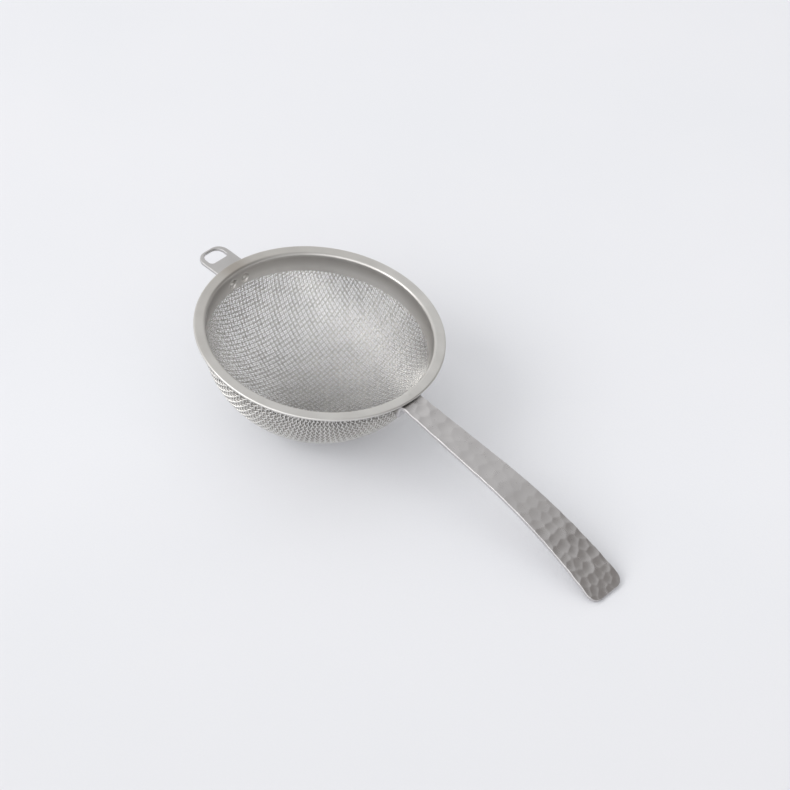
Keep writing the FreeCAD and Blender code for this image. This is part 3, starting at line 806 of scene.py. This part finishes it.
def hammered(length):
    """The relief of overlapping cups, each hammer mark a shallow part of a sphere."""
    marks = hammer_marks(length)

    def relief(flat):
        share = flat[:, 0] / length
        spacing = along(MARK_SPACING, share)
        cup = along(MARK_CUP, share)
        low = np.full(len(flat), np.inf)
        for x, y, lift in marks:
            near = np.abs(flat[:, 0] - x) < MARK_REACH * spacing
            away = (flat[near, 0] - x) ** 2 + (flat[near, 1] - y) ** 2
            level = away + lift * spacing[near] ** 2
            low[near] = np.minimum(low[near], level)
        ridge = MARK_RIDGE * spacing ** 2
        low = np.where(np.isfinite(low), np.minimum(low, ridge), ridge)
        begin = np.clip((flat[:, 0] - MARKS_START + MARKS_LEAD) / MARKS_FADE, 0, 1)
        return (ridge - low) / (2 * cup) * begin

    return relief


def make_handle():
    """The hammered handle with its tongue."""
    path = strip_path(HANDLE_BEND, HANDLE_SLOPE, HANDLE_KNEE, HANDLE_ARCH_RADIUS, HANDLE_TIP_X)
    length = path[-1, 0]
    root, tip = HANDLE_ROOT_WIDTH / 2, HANDLE_TIP_WIDTH / 2
    corners = [(0, -root), (HANDLE_WIDENS, -root), (length, -tip),
               (length, tip), (HANDLE_WIDENS, root), (0, root)]
    radii = [TONGUE_CORNER, 0, HANDLE_CORNER, HANDLE_CORNER, 0, TONGUE_CORNER]
    outline = rounded_outline(corners, radii, HANDLE_GRID)
    points, faces = bent_plate(path, outline, None, HANDLE_GAUGE, HANDLE_EDGE, HANDLE_GRID,
                               hammered(length))
    return make_piece("hammered_handle", points, faces, STRIP, ["handle"])


make_handle()

TAB_GAUGE = 1.0
TAB_BEND = 1.6
TAB_DROP = 1.0
TAB_REACH = 47.1
TAB_WIDTH = 10.5
TAB_CORNER = 3.6
TAB_EDGE = 0.2
TAB_GRID = 0.3
SLOT_WIDTH = 7.2
SLOT_LENGTH = 4.7
SLOT_MARGIN = 0.75
SLOT_OUTER_CORNER = 2.6
SLOT_INNER_CORNER = 1.2


def make_tab():
    """The hook tab with its tongue and hanging slot."""
    path = strip_path(TAB_BEND, 0.0, np.array((TAB_REACH, -TAB_DROP)))
    length = path[-1, 0]
    half = TAB_WIDTH / 2
    corners = [(0, -half), (length, -half), (length, half), (0, half)]
    radii = [TONGUE_CORNER, TAB_CORNER, TAB_CORNER, TONGUE_CORNER]
    outline = rounded_outline(corners, radii, TAB_GRID)
    far, near = length - SLOT_MARGIN, length - SLOT_MARGIN - SLOT_LENGTH
    reach = SLOT_WIDTH / 2
    slot = rounded_outline(
        [(near, -reach), (far, -reach), (far, reach), (near, reach)],
        [SLOT_INNER_CORNER, SLOT_OUTER_CORNER, SLOT_OUTER_CORNER, SLOT_INNER_CORNER], TAB_GRID)
    points, faces = bent_plate(path, outline, slot, TAB_GAUGE, TAB_EDGE, TAB_GRID,
                               lambda flat: np.zeros(len(flat)))
    return make_piece("hook_tab_visual", points * (-1, -1, 1), faces, TAB_SHEET,
                      ["hook_tab"])


make_tab()

for welds in ("handle_spot_welds", "tab_spot_welds"):
    disc = frame["nodes"][welds]
    disc.data.materials.clear()
    disc.data.materials.append(WELD)

# ---- studio ------------------------------------------------------------------------------------

FLOOR_REACH = 1.6
FLOOR_TILES = 40
CLOTH_TONES = [(0.3, (0.765, 0.776, 0.81)), (0.7, (0.785, 0.79, 0.825))]
THREAD_TONES = [(0.3, (0.795, 0.806, 0.84)), (0.7, (0.815, 0.82, 0.85))]
THREADS_PER_MM = 1.6
THREAD_DEPTH = 0.08 * MM
SHADED_CLOTH = (0.68, 0.685, 0.71)  # the cloth's tone SHADED_AT mm out towards SHADED_SIDE
SHADED_AT = 300
SHADED_SIDE = -50  # azimuth


def make_floor():
    """A pale cloth-covered table top at the height that the strainer stands on."""
    material = bpy.data.materials.new("pale_floor")
    material.use_nodes = True
    tree = material.node_tree
    shader = tree.nodes["Principled BSDF"]
    shader.inputs["Roughness"].default_value = 0.9
    where = node(tree, "ShaderNodeTexCoord").outputs["Object"]
    tone = noise(tree, where, 0.01, 3.0)
    threads = noise(tree, where, THREADS_PER_MM, 2.0)
    cloth = ramp(tree, tone, CLOTH_TONES)
    bright = ramp(tree, tone, THREAD_TONES)
    woven = blended(tree, threads, cloth, bright)
    outwards = node(tree, "ShaderNodeVectorMath", operation="DOT_PRODUCT")
    outwards.inputs[1].default_value = direction(SHADED_SIDE, 0)
    tree.links.new(where, outwards.inputs[0])
    share = measured(tree, outwards.outputs["Value"], 0, SHADED_AT)
    tree.links.new(blended(tree, share, woven, SHADED_CLOTH), shader.inputs["Base Color"])
    bump = node(tree, "ShaderNodeBump", Strength=0.25, Distance=THREAD_DEPTH)
    tree.links.new(threads, bump.inputs["Height"])
    tree.links.new(bump.outputs["Normal"], shader.inputs["Normal"])
    ticks = np.linspace(-FLOOR_REACH, FLOOR_REACH, FLOOR_TILES + 1)
    level = cad_box[0].z
    points = [(x, y, level) for x in ticks for y in ticks]
    row = FLOOR_TILES + 1
    faces = [(i * row + j, (i + 1) * row + j, (i + 1) * row + j + 1, i * row + j + 1)
             for i in range(FLOOR_TILES) for j in range(FLOOR_TILES)]
    mesh = bpy.data.meshes.new("floor")
    mesh.from_pydata(points, [], faces)
    mesh.materials.append(material)
    floor = bpy.data.objects.new("floor", mesh)
    bpy.context.scene.collection.objects.link(floor)


def direction(azimuth, elevation):
    """A unit vector from compass angles in degrees: azimuth from +X towards +Y, elevation up."""
    turn, lift = math.radians(azimuth), math.radians(elevation)
    level = math.cos(lift)
    return Vector((math.cos(turn) * level, math.sin(turn) * level, math.sin(lift)))


def panel_light(name, azimuth, elevation, distance, width, height, power, colour):
    """A soft panel that faces the strainer."""
    light = bpy.data.lights.new(name, "AREA")
    light.shape = "RECTANGLE"
    light.size, light.size_y = width, height
    light.energy = power
    light.color = colour
    lamp = bpy.data.objects.new(name, light)
    lamp.location = direction(azimuth, elevation) * distance
    lamp.rotation_mode = "QUATERNION"
    lamp.rotation_quaternion = direction(azimuth, elevation).to_track_quat("Z", "Y")
    bpy.context.scene.collection.objects.link(lamp)


def room_light(axis, shades, strength):
    """Light from all round, shaded by the angle in degrees from axis, where the room is darkest."""
    world = bpy.data.worlds.new("soft_room")
    world.use_nodes = True
    bpy.context.scene.world = world
    tree = world.node_tree
    where = node(tree, "ShaderNodeTexCoord").outputs["Generated"]
    aim = node(tree, "ShaderNodeVectorMath", operation="DOT_PRODUCT")
    aim.inputs[1].default_value = axis
    tree.links.new(where, aim.inputs[0])
    spread = node(tree, "ShaderNodeMapRange")
    spread.inputs["From Min"].default_value = -1
    tree.links.new(aim.outputs["Value"], spread.inputs["Value"])
    stops = sorted(((1 + math.cos(math.radians(angle))) / 2, colour) for angle, colour in shades)
    colour = ramp(tree, spread.outputs["Result"], stops)
    backdrop = tree.nodes["Background"]
    tree.links.new(colour, backdrop.inputs["Color"])
    backdrop.inputs["Strength"].default_value = strength


def make_camera(azimuth, elevation, distance, roll, target, lens):
    """A camera at azimuth and elevation from the target, turned about its own axis by roll."""
    back = direction(azimuth, elevation)
    level_right = Vector((0, 0, 1)).cross(back).normalized()
    level_up = back.cross(level_right)
    turn = math.radians(roll)
    right = level_right * math.cos(turn) + level_up * math.sin(turn)
    up = back.cross(right)
    data = bpy.data.cameras.new("camera")
    data.lens = lens
    data.sensor_width = 36
    data.clip_start, data.clip_end = 0.05, 20
    camera = bpy.data.objects.new("camera", data)
    pose = Matrix((right, up, back)).transposed().to_4x4()
    pose.translation = Vector(target) + back * distance
    camera.matrix_world = pose
    bpy.context.scene.collection.objects.link(camera)
    bpy.context.scene.camera = camera


make_floor()
room_light(direction(50, 30), [  # (angle, colour)
    (0, (0.30, 0.28, 0.27)),
    (21, (0.32, 0.31, 0.30)),
    (28, (0.56, 0.55, 0.54)),
    (40, (0.63, 0.63, 0.63)),
    (50, (0.78, 0.78, 0.78)),
    (62, (0.88, 0.88, 0.88)),
    (90, (1.0, 1.0, 1.0)),
    (120, (1.17, 1.17, 1.18)),
    (180, (1.17, 1.17, 1.18)),
], 1.0)
panel_light("window", azimuth=240, elevation=38, distance=2.6, width=1.63, height=1.3,
            power=18.5, colour=(1.0, 0.985, 0.96))
panel_light("front_window", azimuth=288, elevation=34, distance=2.8, width=3.0, height=1.9,
            power=17.5, colour=(0.98, 0.99, 1.0))
make_camera(azimuth=-50.58, elevation=39.77, distance=0.79527, roll=3.60,
            target=(-0.02161, 0.02283, 0.0), lens=118.48)
bpy.context.scene.view_settings.view_transform = "Standard"
